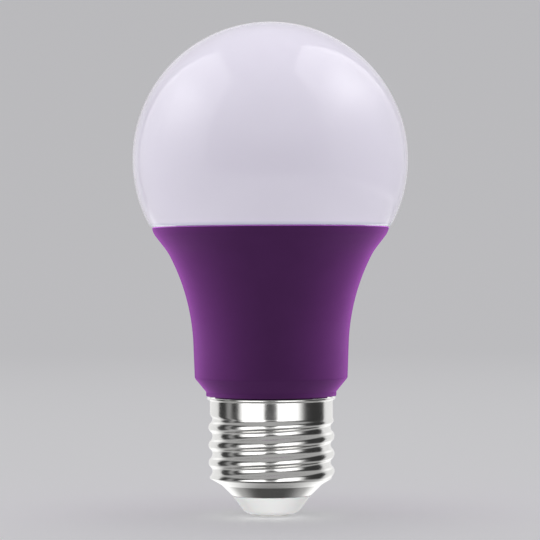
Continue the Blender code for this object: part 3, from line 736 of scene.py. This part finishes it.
def softbox(name, way, distance, size, radiance, target, group, glossy=True, diffuse=True):
    """A rectangular light that faces the target, for the pieces in one collection.

    way is its azimuth and elevation from the target: azimuth 0 is in front and 90 is at +X.
    The radiance is what a mirror would show, so the power follows from the size.
    """
    data = bpy.data.lights.new(name, "AREA")
    data.shape = "RECTANGLE"
    data.size, data.size_y = size
    data.energy = radiance * size[0] * size[1] * pi
    light = bpy.data.objects.new(name, data)
    azimuth, elevation = (radians(a) for a in way)
    out = Vector((sin(azimuth) * cos(elevation), -cos(azimuth) * cos(elevation), sin(elevation)))
    light.location = Vector(target) + out * distance
    light.rotation_euler = out.to_track_quat("Z", "Y").to_euler()
    light.visible_camera = False
    light.visible_glossy = glossy
    light.visible_diffuse = diffuse
    light.light_linking.receiver_collection = group
    bpy.context.scene.collection.objects.link(light)
    return light


def panel(name, centre, facing, size, radiance, group):
    """A rectangular light that shows only in gloss, with its own centre and facing."""
    light = softbox(name, (0, 0), 0.0, size, radiance, centre, group, diffuse=False)
    light.rotation_euler = (-Vector(facing)).to_track_quat("Z", "Y").to_euler()
    return light


def feather(light, left=0.0, right=0.0, bottom=0.0, top=0.0, floor_share=0.0):
    """The light dims smoothly towards its edges, over these shares of its width and height."""
    light.data.use_nodes = True
    nodes = Nodes(light.data.node_tree)
    place = nodes.axes(nodes.node("ShaderNodeNewGeometry").outputs["Parametric"])
    strength = nodes.tree.nodes["Emission"].inputs["Strength"]
    fades = [
        nodes.ranged(place[axis], floor_share, 1.0, 0.0, share, soft=True)
        for axis, share in (("X", left), ("Y", bottom)) if share
    ] + [
        nodes.ranged(place[axis], 1.0, floor_share, 1.0 - share, 1.0, soft=True)
        for axis, share in (("X", right), ("Y", top)) if share
    ]
    result = fades[0]
    for fade in fades[1:]:
        result = nodes.math("MULTIPLY", result, fade)
    nodes.link(result, strength)


def light_group(name, *pieces):
    """A collection that a light is limited to."""
    made = bpy.data.collections.new(name)
    for piece in pieces:
        made.objects.link(piece)
    return made


def light_globe(globe):
    """Two tall panels and their bright cores draw the gloss, and softboxes shade the ball."""
    low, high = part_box("diffuser_globe")
    middle = Vector((0, 0, high.z - (high.x - low.x) / 2))
    group = light_group("globe_light", globe)
    all_round = {"left": 0.5, "right": 0.5, "bottom": 0.5, "top": 0.5}
    for name, offset, facing, size, radiance, edges in (
        ("globe_left", (-0.6, 0.1, 0.56), (1, 0, 0), (1.11, 1.42), 1.04,
         {"bottom": 0.5, "floor_share": 0.5}),
        ("globe_right", (0.45, 0.13, 0.74), (-1, 0, 0), (1.07, 1.76), 1.17,
         {"bottom": 0.5, "floor_share": 0.3}),
        ("globe_left_core", (-0.59, -0.02, 0.39), (1, 0, 0), (0.86, 0.76), 1.53, all_round),
        ("globe_right_core", (0.44, 0.01, 0.42), (-1, 0, 0), (0.72, 0.68), 1.95, all_round),
    ):
        feather(panel(name, middle + Vector(offset), facing, size, radiance, group), **edges)
    for name, way, distance, width, radiance in (
        ("globe_fill", (0, 0), 0.9, 1.6, 0.18),
        ("globe_top", (0, 90), 0.8, 1.4, 0.82),
        ("globe_side_left", (-105, -8), 0.7, 1.0, 0.5),
        ("globe_side_right", (105, -8), 0.7, 1.0, 0.39),
        ("globe_high_left", (-75, 40), 0.7, 0.9, 0.87),
        ("globe_high_right", (75, 40), 0.7, 0.9, 0.9),
    ):
        softbox(name, way, distance, (width, width), radiance, middle, group, glossy=False)
    softbox("globe_table", (0, -90), 0.25, (2.0, 2.0), 0.56, middle, group)
    behind = middle + Vector((0, 0.8, -0.125))
    backdrop = panel("globe_backdrop", behind, (0, -1, 0), (1.6, 1.35), 0.58, group)
    feather(backdrop, left=0.3, right=0.2, bottom=0.3, top=0.37)


def light_housing(housing):
    """Two softboxes from behind draw its bright edges, and a small one overhead its rim."""
    waist = (0, 0, WAIST_Z)
    group = light_group("housing_light", housing)
    for name, azimuth in (("housing_left", -116), ("housing_right", 119)):
        side = softbox(name, (azimuth, 22), 0.7, (0.8, 0.9), 3.7, waist, group, glossy=False)
        side.data.color = (1.0, 0.93, 1.0)
    rim = softbox("rim_light", (0, 90), 0.6, (0.15, 0.15), 140, waist, group, glossy=False)
    rim.light_linking.blocker_collection = group


def light_base(base, insulator):
    """Cards to the left and right of the camera and a backdrop, for the metal to mirror."""
    low = (0, 0, BASE_Z)
    group = light_group("base_light", *base)
    left = softbox("card_left", (-39, -15), 0.4, (0.43, 0.34), 1.6, low, group)
    feather(left, left=0.3, right=0.08)
    right = softbox("card_right", (38, -15), 0.4, (0.46, 0.34), 1.6, low, group)
    feather(right, left=0.08, right=0.45)
    strip = softbox("strip_left", (-85, -5), 0.4, (0.14, 0.5), 0.3, low, group)
    feather(strip, left=0.4, right=0.4)
    backdrop = softbox("backdrop", (180, 0), 0.5, (2.3, 1.4), 0.88, low, group, diffuse=False)
    feather(backdrop, left=0.1, right=0.1, bottom=0.35, top=0.35)
    only_insulator = light_group("insulator_light", insulator)
    softbox("insulator_fill", (0, -20), 0.6, (0.9, 0.7), 0.68, low, only_insulator, glossy=False)


def light_floor(floor):
    """One softbox overhead, so the floor is brightest under the bulb."""
    group = light_group("floor_light", floor)
    softbox("overhead", (0, 90), 1.3, (1.0, 1.0), 1.0, (0, 0, BASE_Z), group)


# ---------------------------------------------------------------- the whole


def finish_inner_nodes(replaced):
    """Every CAD node that no piece stands for keeps its shape and gets its slot's finish."""
    slots = {slot["slot"]: slot for slot in frame["record"]["materials"]}
    made = {}
    for part in frame["record"]["subparts"]:
        if part["node"] in replaced:
            continue
        slot = part["material_slot"]
        if slot not in made:
            made[slot] = plain_finish(slots[slot])
        node = frame["nodes"][part["node"]]
        node.data.materials.clear()
        node.data.materials.append(made[slot])


def main():
    add_camera()
    floor = add_stage()
    add_world()
    globe = globe_piece(opal_globe())
    housing = housing_piece(purple_housing())
    insulator = insulator_piece(white_insulator())
    base = [shell_piece(nickel_plate()), insulator, contact_piece(contact_metal())]
    # Both stay out of the metal's mirror images
    for piece in (globe, housing):
        piece.visible_glossy = False
    finish_inner_nodes(
        {"diffuser_globe", "housing_shell", "screw_shell", "base_insulator", "centre_contact"}
    )
    light_globe(globe)
    light_housing(housing)
    light_base(base, insulator)
    light_floor(floor)


main()
bpy.context.scene.view_settings.view_transform = "Standard"
